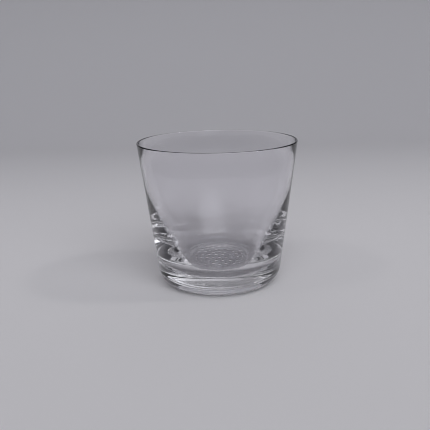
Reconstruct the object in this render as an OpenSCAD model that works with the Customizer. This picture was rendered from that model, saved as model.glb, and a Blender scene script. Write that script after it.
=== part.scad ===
// Whisky tumbler: one piece of pressed and fire-polished clear glass.
// A thin tapered wall grows along one long arc into a thick floor. The tumbler stands on a
// notched ring round a pushed-up underside. The origin is on the axis, at the table plane, +Z up.

/* [Outside] */
// Outer diameter at the rim
rim_d = 90; // [80:1:110]
// Height from the table to the top of the rim
height = 82; // [68:1:100]
// Diameter where the line of the wall would meet the table, without the rounded heel
base_d = 68.4; // [60:0.2:80]
// Radius of the rounded heel between the wall and the underside
heel_r = 10.5; // [6:0.5:13]

/* [Wall and floor] */
// Thickness of the wall at the rim
rim_t = 1.0; // [0.8:0.1:3]
// Angle by which the straight part of the inner wall leans in more than the outer wall
wall_taper = 1.0; // [0:0.1:2]
// Depth below the rim to which the inner wall is straight
thin_depth = 24; // [10:1:36]
// Height of the inner floor above the table
floor_h = 9.5; // [6:0.5:14]
// Diameter of the flat disc in the middle of the inner floor
floor_flat_d = 30; // [20:0.5:36]
// Radius of the corner between the inner floor and the inner wall
floor_corner_r = 14; // [8:0.5:16]

/* [Underside] */
// Width of the ring that the tumbler stands on
ring_w = 4.5; // [3:0.1:7]
// Rise of the underside in the middle
push_up = 1.2; // [0.8:0.1:2.5]
// Number of notches round the standing ring
notch_n = 90; // [60:1:110]
// Radius of the round tool that presses a notch
notch_r = 0.4; // [0.3:0.05:0.8]
// Depth of a notch
notch_depth = 0.2; // [0.1:0.05:0.3]
// Plain rim left outside the notches on the standing ring
plain_w = 3.0; // [0.8:0.1:3.2]

/* [Grip dots] */
// Rings of dots on the underside round the one in the middle
dot_rings = 4; // [1:1:4]
// Radius of the ball that a dot is part of
dot_ball_r = 1.4; // [1:0.1:2]
// Height of a dot above the underside
dot_h = 0.3; // [0.1:0.05:0.4]
// Distance from the outermost dots to the inside of the standing ring
dot_margin = 4.5; // [3:0.5:8]

/* [Hidden] */

TURN_FN = 240;        // facets of the turned body
DOME_FN = 960;        // facets of the underside's large circle
CHORD_DEPTH = 0.002;  // how far a chord of the outline may lie inside its arc
NOTCH_FN = 24;
DOT_FN = 32;
DOTS_PER_RING = 6;    // each ring of dots has this many more than the one inside it

rim_r = rim_d / 2;
base_r = base_d / 2;
lip_r = rim_t / 2;

// Tilt of the wall from upright: the line through the base point that touches the lip's circle.
lip_x = rim_r - lip_r;
lip_z = height - lip_r;
tilt = atan2(lip_x - base_r, lip_z) + asin(lip_r / norm([lip_x - base_r, lip_z]));
wall_out = [cos(tilt), -sin(tilt)];   // points out of the wall, square to it
lip_c = [lip_x, lip_z];

// The heel's circle touches the table plane and the line of the wall.
heel_x = base_r - heel_r * (1 - sin(tilt)) / cos(tilt);
heel_c = [heel_x, heel_r];
ring_in = heel_x - ring_w;

// The straight part of the inner wall touches the lip's circle and leans by in_tilt.
in_tilt = tilt + wall_taper;
wall_in = [-cos(in_tilt), sin(in_tilt)];   // points into the drink, square to the inner wall
up_in = [sin(in_tilt), cos(in_tilt)];
lip_inside = lip_c + lip_r * wall_in;

// The long arc of the inner wall leaves the straight part at arc_top and touches the corner's circle.
arc_top = lip_inside - up_in * (thin_depth / cos(in_tilt));
corner_c = [floor_flat_d / 2, floor_h + floor_corner_r];
gap = arc_top - corner_c;
long_r = (floor_corner_r^2 - gap * gap) / (2 * (floor_corner_r + gap * wall_in));
long_c = arc_top + long_r * wall_in;
join_dir = corner_c - long_c;
join_angle = atan2(join_dir[1], join_dir[0]);

// The underside is a shallow dome from the standing ring to the middle.
dome_r = (ring_in^2 + push_up^2) / (2 * push_up);
function dome_z(r) = sqrt(dome_r^2 - r^2) - (dome_r - push_up);

dot_step = (ring_in - dot_margin) / dot_rings;

// The tool of a notch starts well under the dome, so the notch fades out where the dome rises above
// it, and it stops at the plain rim of the standing ring.
tool_in = ring_in / 2;
tool_out = heel_x - plain_w;

// The points of an arc after its first one. Directions are in degrees, with 0 along +X.
function arc(centre, r, from, to) =
    let (steps = ceil(abs(to - from) / (2 * acos(1 - CHORD_DEPTH / r))))
    [
        for (i = [1 : steps])
            let (a = from + (to - from) * i / steps)
            centre + r * [cos(a), sin(a)]
    ];

// Half section with a flat underside, walked from the axis out along the table, up the wall,
// over the lip and down the inside. Each arc touches the stretch before it and the one after it.
outline = concat(
    [[0, 0], [heel_x, 0]],
    arc(heel_c, heel_r, -90, -tilt),
    [lip_c + lip_r * wall_out],
    arc(lip_c, lip_r, -tilt, 180 - in_tilt),
    [arc_top],
    arc(long_c, long_r, -in_tilt, join_angle),
    arc(corner_c, floor_corner_r, join_angle, -90),
    [[0, floor_h]]
);

module glass_section() {
    difference() {
        polygon(outline);
        translate([0, push_up - dome_r]) circle(r = dome_r, $fn = DOME_FN);
    }
}

// Radial notches across the inner part of the standing ring, which let the tumbler slide and dry.
// They start half a pitch round, so that none of them lies on the seam of the turned body.
module ring_notches() {
    for (i = [0 : notch_n - 1])
        rotate([0, 0, (i + 0.5) * 360 / notch_n])
            translate([tool_in, 0, notch_depth - notch_r])
                rotate([0, 90, 0])
                    cylinder(r = notch_r, h = tool_out - tool_in, $fn = NOTCH_FN);
}

// One dot: the cap of a ball that stands out of the domed underside.
module dot(r) {
    translate([r, 0, dome_z(r) - dot_h + dot_ball_r]) sphere(r = dot_ball_r, $fn = DOT_FN);
}

module grip_dots() {
    dot(0);
    for (ring = [1 : dot_rings], i = [0 : DOTS_PER_RING * ring - 1])
        rotate([0, 0, i * 360 / (DOTS_PER_RING * ring)]) dot(ring * dot_step);
}

module tumbler_glass() {
    color([0.80, 0.84, 0.88, 0.45]) {
        difference() {
            rotate_extrude($fn = TURN_FN) glass_section();
            ring_notches();
        }
        grip_dots();
    }
}

tumbler_glass();
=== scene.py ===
# %% [markdown]
# # A clear glass tumbler
#
# This lesson models a rocks glass and photographs it in a small studio. The real object is one piece
# of clear glass: a thin wall that leans out, a heavy floor, a rounded heel and an underside that is
# pushed up inside a standing ring. There is no joint and no second part.
#
# A clear glass shows almost nothing of itself. What the eye reads is the room, bent by the thickness
# of the wall, so the lesson spends its effort on two things: a section that is right to a tenth of a
# millimetre, and a room with dark sides and pale paper for that section to bend.

# %% Load the frame
import math

import bmesh
import bpy
import numpy as np
from mathutils import Matrix, Vector


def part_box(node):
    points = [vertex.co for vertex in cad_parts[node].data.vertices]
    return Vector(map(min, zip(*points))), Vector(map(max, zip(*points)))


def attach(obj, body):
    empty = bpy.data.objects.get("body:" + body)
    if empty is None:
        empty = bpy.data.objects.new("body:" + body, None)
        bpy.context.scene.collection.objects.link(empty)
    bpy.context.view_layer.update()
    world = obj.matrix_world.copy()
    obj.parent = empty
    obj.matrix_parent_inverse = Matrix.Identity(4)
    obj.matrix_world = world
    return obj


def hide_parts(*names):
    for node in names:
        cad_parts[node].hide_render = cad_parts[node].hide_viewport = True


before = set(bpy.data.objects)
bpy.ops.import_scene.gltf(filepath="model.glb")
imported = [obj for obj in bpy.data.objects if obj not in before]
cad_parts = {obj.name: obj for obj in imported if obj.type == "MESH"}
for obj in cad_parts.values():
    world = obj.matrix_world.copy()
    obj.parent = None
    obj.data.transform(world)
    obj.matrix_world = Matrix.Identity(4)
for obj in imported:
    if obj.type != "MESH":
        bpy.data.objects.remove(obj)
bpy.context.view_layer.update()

# %% [markdown]
# ## Sizes
#
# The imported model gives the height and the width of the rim. Every other size of the section is
# written here in millimetres of an 82 mm tall glass, and multiplied by MM. MM comes from the frame's
# height, so the whole section grows and shrinks with the frame.

# %% Sizes of the glass
LOW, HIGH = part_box("tumbler_glass")
HEIGHT = HIGH.z - LOW.z
RIM_R = (HIGH.x - LOW.x) / 2
DESIGN_HEIGHT = 82          # millimetres
MM = HEIGHT / DESIGN_HEIGHT

BASE_R = 34.2 * MM          # where the line of the wall would meet the table
HEEL_R = 10.5 * MM
LIP_R = 0.5 * MM            # half the thickness of the wall at the rim
WALL_TAPER = math.radians(1.0)   # the inner wall leans this much more than the outer one
THIN_DEPTH = 24 * MM        # the inner wall is straight down to here
FLOOR_H = 9.5 * MM
FLOOR_FLAT_R = 15 * MM
CORNER_R = 14 * MM
RING_W = 4.5 * MM
PUSH_UP = 1.2 * MM
print(f"height {HEIGHT * 1000:.2f} mm, rim radius {RIM_R * 1000:.2f} mm")

# %% [markdown]
# ## The half section
#
# A glass like this is blown or pressed in a round mould, so it is a turned shape: one half section
# carried once round the axis. The section could be traced freehand as a curve, but then its arcs
# would only look tangent, and glass shows every kink as a dark line. It is worked out instead, from
# straight lines and arcs that touch.
#
# The wall's outside is the line through the base point that touches the round of the lip. The inner
# wall leaves that direction along one long arc, which also has to touch the arc of the floor's
# corner: that condition gives the long arc's radius.

# %% Where the lines and arcs touch
def unit(v):
    """v at a length of one."""
    return v / np.linalg.norm(v)


lip_c = np.array([RIM_R - LIP_R, HEIGHT - LIP_R])
to_lip = lip_c - np.array([BASE_R, 0.0])
TILT = math.atan2(to_lip[0], to_lip[1]) + math.asin(LIP_R / np.linalg.norm(to_lip))
wall_out = np.array([math.cos(TILT), -math.sin(TILT)])
in_tilt = TILT + WALL_TAPER
wall_in = -np.array([math.cos(in_tilt), -math.sin(in_tilt)])
up_in = np.array([math.sin(in_tilt), math.cos(in_tilt)])

heel_c = np.array([BASE_R - HEEL_R * (1 - math.sin(TILT)) / math.cos(TILT), HEEL_R])
RING_IN = heel_c[0] - RING_W
DOME_R = (RING_IN**2 + PUSH_UP**2) / (2 * PUSH_UP)

lip_inside = lip_c + LIP_R * wall_in
arc_top = lip_inside - up_in * THIN_DEPTH / math.cos(in_tilt)
corner_c = np.array([FLOOR_FLAT_R, FLOOR_H + CORNER_R])
gap = arc_top - corner_c
LONG_R = (CORNER_R**2 - gap @ gap) / (2 * (CORNER_R + gap @ wall_in))
long_c = arc_top + LONG_R * wall_in
join = corner_c + CORNER_R * unit(corner_c - long_c)
print(f"wall leans {math.degrees(TILT):.2f} degrees, long arc {LONG_R * 1000:.1f} mm")

# %% [markdown]
# The section is walked in one direction, from the middle of the underside out to the heel, up the
# wall, over the lip and down the inside to the middle of the floor. Straight stretches need few
# points. The underside gets many, because dots will be pulled out of it later.

# %% The points of the section
def dome_z(r):
    """Height of the pushed-up underside at a radius."""
    return math.sqrt(DOME_R**2 - r**2) - (DOME_R - PUSH_UP)


def line(start, stop, steps):
    """Points after start, up to and with stop."""
    return [start + (stop - start) * i / steps for i in range(1, steps + 1)]


def arc(centre, start, stop, steps):
    """Points after start, up to and with stop, on the shorter arc about centre."""
    a = math.atan2(*(start - centre)[::-1])
    turn = (math.atan2(*(stop - centre)[::-1]) - a + math.pi) % (2 * math.pi) - math.pi
    r = np.linalg.norm(start - centre)
    angles = [a + turn * i / steps for i in range(1, steps + 1)]
    return [centre + r * np.array([math.cos(t), math.sin(t)]) for t in angles]


DOME_STEP = 0.24 * MM
RING_STEPS, HEEL_STEPS, WALL_STEPS, LIP_STEPS = 12, 22, 8, 6
STRAIGHT_STEPS, LONG_STEPS, CORNER_STEPS, FLOOR_STEPS = 4, 30, 18, 5

dome_steps = round(RING_IN / DOME_STEP)
dome = [np.array([RING_IN * i / dome_steps, dome_z(RING_IN * i / dome_steps)])
        for i in range(dome_steps + 1)]
ring_edge = np.array([heel_c[0], 0.0])
heel_top = heel_c + HEEL_R * wall_out
lip_out = lip_c + LIP_R * wall_out
lip_crown = lip_c + LIP_R * np.array([math.sin(TILT), math.cos(TILT)])
floor_edge = np.array([FLOOR_FLAT_R, FLOOR_H])
floor_mid = np.array([0.0, FLOOR_H])

section = dome + line(dome[-1], ring_edge, RING_STEPS)
section += arc(heel_c, ring_edge, heel_top, HEEL_STEPS)
section += line(heel_top, lip_out, WALL_STEPS)
section += arc(lip_c, lip_out, lip_crown, LIP_STEPS)
section += arc(lip_c, lip_crown, lip_inside, LIP_STEPS)
section += line(lip_inside, arc_top, STRAIGHT_STEPS)
section += arc(long_c, arc_top, join, LONG_STEPS)
section += arc(corner_c, join, floor_edge, CORNER_STEPS)
section += line(floor_edge, floor_mid, FLOOR_STEPS)
print(len(section), "points in the half section")

# %% [markdown]
# ## Working in edit mode
#
# Every shape below is made with the operators that a person would use by hand, and those act on
# whatever is selected. The helpers deselect everything first, then select points by a mask: an array
# with True for each point that is wanted. Masks come from the points' places, so no point is ever
# picked by its number.

# %% Select, edit, leave
def only(obj):
    """Deselects everything, then selects obj and makes it active."""
    if bpy.context.object and bpy.context.object.mode != "OBJECT":
        bpy.ops.object.mode_set(mode="OBJECT")
    bpy.ops.object.select_all(action="DESELECT")
    obj.select_set(True)
    bpy.context.view_layer.objects.active = obj


def edit(obj, mask=None):
    """Enters edit mode with the points of mask selected, or with all of them."""
    only(obj)
    count = len(obj.data.vertices)
    mask = np.ones(count, bool) if mask is None else mask
    obj.data.polygons.foreach_set("select", np.zeros(len(obj.data.polygons), bool))
    obj.data.edges.foreach_set("select", np.zeros(len(obj.data.edges), bool))
    obj.data.vertices.foreach_set("select", mask)
    bpy.ops.object.mode_set(mode="EDIT")
    bpy.ops.mesh.select_mode(type="VERT")


def done():
    """Leaves edit mode."""
    bpy.ops.object.mode_set(mode="OBJECT")


def points(obj):
    """All points of a mesh, as an array with one row each."""
    co = np.empty(len(obj.data.vertices) * 3)
    obj.data.vertices.foreach_get("co", co)
    return co.reshape(-1, 3)


# %% [markdown]
# ## One notch's worth of glass
#
# The inner third of the standing ring is crossed by 90 short notches that run out into the dome. They
# keep the glass from sticking to a wet table, and they break up the light under the floor. Cutting 90
# grooves out of the finished mesh with a boolean would leave ragged faces, which glass shows at once.
# Instead a slice of four degrees is turned, one notch is pressed into it by moving its own points,
# and the slice is repeated round the axis.
#
# The slice starts as a plane that is merged to a single point. The point is extruded along the
# section, and the finished outline is spun through four degrees in four steps.

# %% Turn the slice
NOTCHES = 90
STEPS_PER_NOTCH = 4
PITCH = 2 * math.pi / NOTCHES
WELD = 0.5e-6               # points closer than this are one point

bpy.ops.mesh.primitive_plane_add(size=MM, location=(0, 0, section[0][1]))
glass = bpy.context.object
glass.name = "glass_tumbler"
edit(glass)
bpy.ops.mesh.merge(type="CENTER")
for here, there in zip(section, section[1:]):
    step = (there[0] - here[0], 0, there[1] - here[1])
    bpy.ops.mesh.extrude_region_move(TRANSFORM_OT_translate={"value": step})
done()
bpy.ops.object.transform_apply(location=True)
edit(glass)
bpy.ops.mesh.spin(steps=STEPS_PER_NOTCH, angle=PITCH, center=(0, 0, 0), axis=(0, 0, 1))
bpy.ops.mesh.select_all(action="SELECT")
bpy.ops.mesh.remove_doubles(threshold=WELD)
done()
print("slice:", len(glass.data.vertices), "points")

# %% [markdown]
# ## The notch
#
# A notch is pressed by a round tool of 0.4 mm radius, 0.2 mm deep. For each ring of points the
# groove's height is compared with the dome's: where the groove is higher, the points are lifted to
# it. The groove therefore fades out by itself where the dome rises above it, as it does on the glass.
# Its outer end stops 3 mm short of the heel and leaves a plain rim to stand on.

# %% Press the notch
NOTCH_R = 0.4 * MM
NOTCH_DEPTH = 0.2 * MM
PLAIN_W = 3.0 * MM
NOTCH_START = RING_IN / 2   # well inside the place where the notch fades out
NOTCH_END = heel_c[0] - PLAIN_W
LOW_MARGIN = 0.1 * MM
LEAST_LIFT = 0.001 * MM     # a smaller lift isn't worth a move
LIFT_DIGITS = 9             # lifts that agree to this many digits of a metre are one level


def is_low(co):
    """True for each point no higher than the middle of the underside."""
    return co[:, 2] < dome_z(0) + LOW_MARGIN


co = points(glass)
radius = np.hypot(co[:, 0], co[:, 1])
angle = np.arctan2(co[:, 1], co[:, 0])
notch_side = (angle - angle[radius > RING_IN].mean()) * radius
reach = np.sqrt(np.clip(NOTCH_R**2 - notch_side**2, 0, None))
groove = reach + NOTCH_DEPTH - NOTCH_R
along = (radius > NOTCH_START) & (radius < NOTCH_END)
lift = np.where(is_low(co) & along, groove - co[:, 2], 0)
lift[lift < LEAST_LIFT] = 0
levels = np.unique(np.round(lift[lift > 0], LIFT_DIGITS))
for level in levels:
    edit(glass, np.abs(lift - level) < 10**-LIFT_DIGITS)
    bpy.ops.transform.translate(value=(0, 0, level))
    done()
print("notch:", int((lift > 0).sum()), "points lifted, at most", f"{lift.max() * 1000:.3f} mm")

# %% [markdown]
# ## The whole turn
#
# An Array modifier repeats the slice. Its step is an empty object turned by one pitch, which is the
# usual way to make a round array. The modifier is applied and the empty is thrown away, and then
# Merge by Distance welds each slice to the next and the last to the first.

# %% Repeat the slice round the axis
turner = bpy.data.objects.new("turner", None)
bpy.context.scene.collection.objects.link(turner)
turner.rotation_euler = (0, 0, PITCH)
only(glass)
array = glass.modifiers.new("round", "ARRAY")
array.use_relative_offset = False
array.use_object_offset = True
array.offset_object = turner
array.count = NOTCHES
bpy.context.view_layer.update()
bpy.ops.object.modifier_apply(modifier="round")
bpy.data.objects.remove(turner)
edit(glass)
bpy.ops.mesh.remove_doubles(threshold=WELD)
bpy.ops.mesh.select_all(action="SELECT")
bpy.ops.mesh.normals_make_consistent(inside=False)
done()
print("turned:", len(glass.data.vertices), "points")

# %% [markdown]
# ## Dots under the floor
#
# The middle of the underside carries plain raised dots in rings. They are pulled out with
# proportional editing: the point in the middle of each dot is moved down, and its neighbours follow
# on a parabola, which is the shape of a shallow cap. All dots are selected at once, so one move makes
# them all.

# %% Pull out the dots
DOT_RINGS = 4
DOTS_PER_RING = 6           # each ring of dots has this many more than the one inside it
DOT_MARGIN = 4.5 * MM       # from the outermost dots to the standing ring
DOT_STEP = (RING_IN - DOT_MARGIN) / DOT_RINGS
DOT_BALL_R = 1.4 * MM       # a dot is a cap of a ball of this radius
DOT_H = 0.3 * MM
DOT_REACH = math.sqrt(2 * DOT_BALL_R * DOT_H - DOT_H**2)

dot_places = [(0.0, 0.0)]
for ring in range(1, DOT_RINGS + 1):
    for i in range(DOTS_PER_RING * ring):
        a = 2 * math.pi * i / (DOTS_PER_RING * ring)
        dot_places.append((ring * DOT_STEP * math.cos(a), ring * DOT_STEP * math.sin(a)))

co = points(glass)
under = np.where(is_low(co))[0]
mask = np.zeros(len(co), bool)
for x, y in dot_places:
    mask[under[np.hypot(co[under, 0] - x, co[under, 1] - y).argmin()]] = True
edit(glass, mask)
bpy.ops.transform.translate(value=(0, 0, -DOT_H), use_proportional_edit=True,
                            use_proportional_connected=True, proportional_size=DOT_REACH,
                            proportional_edit_falloff="INVERSE_SQUARE")
done()
bpy.ops.object.shade_smooth()
low_point = points(glass)[:, 2].min()
print(len(dot_places), "dots; lowest point", f"{low_point * 1000:.3f} mm")

# %% [markdown]
# ## Is it closed?
#
# Glass is rendered from the inside as well as the outside, so one open edge or one face turned the
# wrong way spoils the whole object. The mesh is read once: it should have no open edge, and the
# volume should come out positive and weigh what such a glass weighs.

# %% Count open edges and weigh the glass
GLASS_DENSITY = 2500        # kilograms in a cubic metre
bm = bmesh.new()
bm.from_mesh(glass.data)
open_edges = sum(1 for e in bm.edges if not e.is_manifold)
volume = bm.calc_volume(signed=True)
bm.free()
print(f"open edges {open_edges}, volume {volume * 1e6:.2f} ml, mass {volume * GLASS_DENSITY * 1000:.0f} g")

# %% [markdown]
# ## Writing shader maths as sums
#
# Shader nodes can be placed one by one, but a formula spread over ten nodes is hard to read. The
# small class below wraps one output socket, so that `streaks * 0.5 + swell` adds its own Math nodes.
# Any other node comes from `Tree.add`, which takes the node's type, its settings and its inputs.

# %% A socket that can be added and multiplied
class Value:
    """An output socket in a node tree."""

    def __init__(self, tree, socket):
        self.tree, self.socket = tree, socket

    def combine(self, operation, a, b):
        return self.tree.add("ShaderNodeMath", {"operation": operation}, {0: a, 1: b})

    def __add__(self, other):
        return self.combine("ADD", self, other)

    def __mul__(self, other):
        return self.combine("MULTIPLY", self, other)

    __radd__ = __add__
    __rmul__ = __mul__


class Tree:
    """A material's or world's node tree, emptied."""

    def __init__(self, owner):
        owner.use_nodes = True
        self.nodes, self.links = owner.node_tree.nodes, owner.node_tree.links
        self.nodes.clear()

    def add(self, kind, settings=None, inputs=None, output=0):
        """Adds a node and gives one of its outputs, if it has any."""
        node = self.nodes.new(kind)
        for name, value in (settings or {}).items():
            if name == "stops":
                ramp = node.color_ramp.elements
                for i, (place, color) in enumerate(value):
                    stop = ramp[i] if i < 2 else ramp.new(place)
                    stop.position, stop.color = place, color
            else:
                setattr(node, name, value)
        for name, value in (inputs or {}).items():
            if isinstance(value, Value):
                self.links.new(value.socket, node.inputs[name])
            else:
                node.inputs[name].default_value = value
        return Value(self, node.outputs[output]) if len(node.outputs) else None


# %% [markdown]
# ## Clear glass
#
# The glass is a dielectric with the refraction of soda-lime glass, 1.52, and no colour of its own
# but a trace of violet grey. A perfectly smooth surface looks like computer graphics, because real
# glass keeps two marks of its making and its use:
#
# - the wall is faintly wavy, mostly up and down, from the way the hot glass ran in the mould;
# - a dried film of wash water dulls it a little in soft patches.
#
# The first is a bump from noise that is stretched along the axis. The second only touches roughness,
# and so little that the edges stay sharp.

# %% The glass material
GLASS_IOR = 1.52
GLASS_TINT = (0.955, 0.950, 0.970, 1)
STREAK_SCALE = (90, 90, 9)  # ten times longer up the wall than across it
STREAK_SHARE = 0.5
SWELL_SCALE = 38.0
WAVE_HEIGHT = 0.00002       # metres
FILM_SCALE = 55.0
FILM_FROM, FILM_TO = 0.55, 0.8   # noise values where the film starts and is full
FILM_ROUGHNESS = 0.03


def make_clear_glass():
    material = bpy.data.materials.new("clear_glass")
    tree = Tree(material)
    place = tree.add("ShaderNodeTexCoord", output="Object")
    runs = tree.add("ShaderNodeMapping", {}, {"Vector": place, "Scale": STREAK_SCALE})
    streaks = tree.add("ShaderNodeTexNoise", {}, {"Vector": runs, "Scale": 1.0, "Detail": 1.5})
    swell = tree.add("ShaderNodeTexNoise", {}, {"Vector": place, "Scale": SWELL_SCALE, "Detail": 1.0})
    bump = tree.add("ShaderNodeBump", {}, {"Height": streaks * STREAK_SHARE + swell,
                                           "Strength": 1.0, "Distance": WAVE_HEIGHT})
    film = tree.add("ShaderNodeTexNoise", {}, {"Vector": place, "Scale": FILM_SCALE, "Detail": 4.0})
    film_stops = [(FILM_FROM, (0, 0, 0, 1)), (FILM_TO, (1, 1, 1, 1))]
    dull = tree.add("ShaderNodeValToRGB", {"stops": film_stops}, {"Fac": film})
    surface = tree.add("ShaderNodeBsdfPrincipled", {}, {
        "Base Color": GLASS_TINT, "IOR": GLASS_IOR, "Transmission Weight": 1.0,
        "Roughness": dull * FILM_ROUGHNESS, "Normal": bump})
    tree.add("ShaderNodeOutputMaterial", {}, {"Surface": surface})
    return material


glass.data.materials.append(make_clear_glass())
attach(glass, "root")
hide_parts("tumbler_glass")

# %% [markdown]
# ## The studio
#
# The glass stands on a sheet of pale grey paper that curves up behind it. A sheet like this is one
# plane with its back edge extruded upwards and the bend rounded by a bevel, so there is no corner to
# draw a line behind the glass.

# %% Paper sweep
PAPER_W = 1.0
PAPER_FRONT = 1.0
PAPER_BACK = 0.85
PAPER_TOP = 1.1
BEND_R = 0.35
BEND_SEGMENTS = 32
EDGE_BAND = 0.01            # points this close to the back edge belong to it
STAND_OFF = 0.00005         # the glass's ring and the paper never share a plane

bpy.ops.mesh.primitive_plane_add(size=1, location=(0, (PAPER_BACK - PAPER_FRONT) / 2, -STAND_OFF))
paper = bpy.context.object
paper.name = "paper_sweep"
paper.scale = (PAPER_W, PAPER_BACK + PAPER_FRONT, 1)
bpy.ops.object.transform_apply(location=True, scale=True)
edit(paper, points(paper)[:, 1] > PAPER_BACK - EDGE_BAND)
bpy.ops.mesh.extrude_region_move(TRANSFORM_OT_translate={"value": (0, 0, PAPER_TOP)})
done()
co = points(paper)
edit(paper, (co[:, 1] > PAPER_BACK - EDGE_BAND) & (co[:, 2] < EDGE_BAND))
bpy.ops.mesh.bevel(offset=BEND_R, segments=BEND_SEGMENTS, profile=0.5)
done()
bpy.ops.object.shade_smooth()

# %% [markdown]
# ## Paper with painted shade towards the back
#
# Studio paper is matt, with a fine tooth that only shows as softness in its shading. Its colour gets
# darker towards the back: this is painted shade that stands in for light falling off, so that the pale
# rim stands off it. A light that really fell off towards the back would do the same, but the glass would
# bend that light into view too.

# %% The paper's material
PAPER_NEAR = (0.80, 0.79, 0.805, 1)
# painted shade: the far colour is darker in place of light that falls off towards the back
PAPER_FAR_SHADED = (0.48, 0.475, 0.495, 1)
FADE_START = 0.05           # metres behind the glass
FADE_END = 0.75
GRAIN_SCALE = 900.0
GRAIN_HEIGHT = 0.0002       # metres


def make_pale_paper():
    material = bpy.data.materials.new("pale_paper")
    tree = Tree(material)
    place = tree.add("ShaderNodeTexCoord", output="Object")
    depth = tree.add("ShaderNodeSeparateXYZ", {}, {"Vector": place}, output="Y")
    # painted shade: blends the paper smoothly darker towards the back, in place of falling light
    painted_falloff = tree.add("ShaderNodeMapRange", {"interpolation_type": "SMOOTHSTEP"},
                    {"Value": depth, "From Min": FADE_START, "From Max": FADE_END})
    color = tree.add("ShaderNodeMix", {"data_type": "RGBA"},
                     {0: painted_falloff, 6: PAPER_NEAR, 7: PAPER_FAR_SHADED}, output=2)
    grain = tree.add("ShaderNodeTexNoise", {}, {"Vector": place, "Scale": GRAIN_SCALE, "Detail": 3.0})
    bump = tree.add("ShaderNodeBump", {}, {"Height": grain, "Strength": 0.2, "Distance": GRAIN_HEIGHT})
    surface = tree.add("ShaderNodeBsdfPrincipled", {}, {
        "Base Color": color, "Roughness": 0.85, "Specular IOR Level": 0.2, "Normal": bump})
    tree.add("ShaderNodeOutputMaterial", {}, {"Surface": surface})
    return material


paper.data.materials.append(make_pale_paper())

# %% [markdown]
# ## A dim room with a pale ceiling
#
# The thick glass at the sides bends the view right round, so what it shows is the lower part of the
# room. If that part is dark, the tumbler gets its heavy outline. The base looks up instead, so it
# needs a pale ceiling. Both come from one ramp that gives the world's brightness by height above the
# horizon. A built room with walls would do it too, but its light arrives after one more bounce and
# takes many more rays to look smooth.

# %% The room's brightness by height
def grey(level, blue):
    """A colour of this brightness with a trace less green, and blue times as much blue."""
    return (level, level * 0.98, level * blue, 1)


ROOM_BANDS = [              # sine of the height above the horizon, and the room's brightness there
    (0.06, grey(0.08, 1.06)),
    (0.16, grey(0.02, 1.2)),
    (0.60, grey(0.02, 1.2)),
    (0.76, grey(0.30, 1.05)),
]

# %% [markdown]
# ## The main light
#
# The main light is a broad soft source in front of the glass and above it, like a window behind the
# photographer. It is a patch of the world, a little wider than tall: each direction is compared with
# the patch's middle by a dot product. A lamp of that size would work, but the back wall would mirror
# it as a hard rectangle. The smooth step gives the patch an edge that fades.

# %% Build the world
KEY_COLOR = (2.45, 2.48, 2.58, 1)
KEY_FROM = Vector((0.14, -0.74, 0.70)).normalized()
KEY_WIDEN = 0.15            # how much the patch gains to the left and right
KEY_EDGE, KEY_FULL = 0.85, 0.98   # cosines of the angles where the patch ends and is full


def make_dim_room():
    world = bpy.data.worlds.new("dim_room")
    tree = Tree(world)
    look = tree.add("ShaderNodeTexCoord", output="Generated")
    sideways = tree.add("ShaderNodeSeparateXYZ", {}, {"Vector": look}, output="X")
    upward = tree.add("ShaderNodeSeparateXYZ", {}, {"Vector": look}, output="Z")
    room = tree.add("ShaderNodeValToRGB", {"stops": ROOM_BANDS}, {"Fac": upward})
    toward = tree.add("ShaderNodeVectorMath", {"operation": "DOT_PRODUCT"},
                      {0: look, 1: KEY_FROM}, output="Value")
    patch = tree.add("ShaderNodeMapRange", {"interpolation_type": "SMOOTHSTEP"},
                     {"Value": toward + sideways * sideways * KEY_WIDEN,
                      "From Min": KEY_EDGE, "From Max": KEY_FULL})
    light = tree.add("ShaderNodeMix", {"data_type": "RGBA"},
                     {0: patch, 6: room, 7: KEY_COLOR}, output=2)
    background = tree.add("ShaderNodeBackground", {}, {"Color": light, "Strength": 1.0})
    tree.add("ShaderNodeOutputWorld", {}, {"Surface": background})
    return world


bpy.context.scene.world = make_dim_room()
print("main light from", [round(v, 2) for v in KEY_FROM])

# %% [markdown]
# ## Two small lamps
#
# A soft light alone leaves glass flat. Two small lamps, high up at the left and the right, give the
# thick corners their bright points and the tumbler a faint shadow on each side.

# %% Hang the small lamps
LAMP_COLOR = (1.0, 0.98, 0.96)
LAMP_AIM = Vector((0, 0, 0.03))


def small_lamp(name, place, size, power):
    """Hangs a square lamp that points at the lower part of the glass."""
    lamp = bpy.data.lights.new(name, "AREA")
    lamp.shape = "SQUARE"
    lamp.size, lamp.energy, lamp.color = size, power, LAMP_COLOR
    obj = bpy.data.objects.new(name, lamp)
    bpy.context.scene.collection.objects.link(obj)
    obj.location = place
    obj.rotation_euler = (LAMP_AIM - Vector(place)).to_track_quat("-Z", "Y").to_euler()


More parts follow.
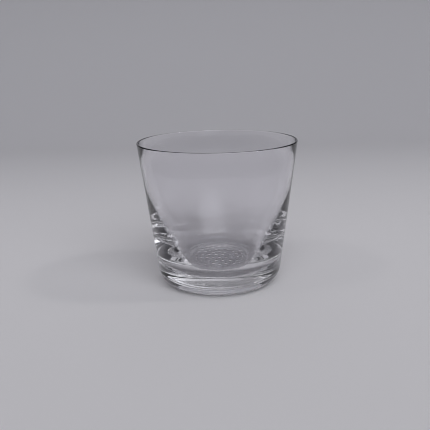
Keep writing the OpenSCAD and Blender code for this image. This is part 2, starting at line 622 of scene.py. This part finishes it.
small_lamp("lamp_right", place=(0.80, -0.15, 1.05), size=0.12, power=1.1)
small_lamp("lamp_left", place=(-0.65, -0.35, 1.05), size=0.08, power=0.5)

# %% [markdown]
# ## Camera
#
# The camera stands nine rim radii away and looks down by 14 degrees, so the rim opens into a shallow
# ellipse and the floor shows through the wall. It leans a little, as a hand-held camera does, and a
# small pan and tilt set the glass just off the middle of the frame.

# %% Place the camera
CAMERA_DISTANCE = 9 * RIM_R
CAMERA_ELEVATION = math.radians(13.98)
CAMERA_ROLL = math.radians(-1.26)
CAMERA_PAN = math.radians(0.293)
CAMERA_TILT = math.radians(-0.309)
LENS_MM = 59.02
SENSOR_MM = 36
NEAREST_SEEN = 0.01         # metres from the lens

camera_data = bpy.data.cameras.new("camera")
camera = bpy.data.objects.new("camera", camera_data)
bpy.context.scene.collection.objects.link(camera)
bpy.context.scene.camera = camera
camera_data.lens, camera_data.sensor_width = LENS_MM, SENSOR_MM
camera_data.clip_start = NEAREST_SEEN
back_dir = Vector((0, -math.cos(CAMERA_ELEVATION), math.sin(CAMERA_ELEVATION)))
aim = (-back_dir).to_track_quat("-Z", "Y").to_matrix().to_4x4()
aim = aim @ Matrix.Rotation(CAMERA_PAN, 4, "Y") @ Matrix.Rotation(CAMERA_TILT, 4, "X")
aim = aim @ Matrix.Rotation(CAMERA_ROLL, 4, "Z")
stand = Vector((0, 0, HEIGHT / 2)) + back_dir * CAMERA_DISTANCE
camera.matrix_world = Matrix.Translation(stand) @ aim

# %% [markdown]
# ## Light paths and tone
#
# A ray can cross a tumbler's walls and floor many times before it leaves, so the limit on bounces is
# raised: with too few, the heavy base turns black. A narrower pixel filter keeps the bright lines
# of the rim and the heel crisp, and the Standard view keeps the pale paper neutral.

# %% Render settings that belong to the scene
scene = bpy.context.scene
scene.cycles.max_bounces = 24
scene.cycles.transmission_bounces = 24
scene.cycles.glossy_bounces = 12
scene.cycles.blur_glossy = 1.0
scene.cycles.sample_clamp_indirect = 4.0
scene.cycles.filter_width = 1.0
scene.view_settings.view_transform = "Standard"
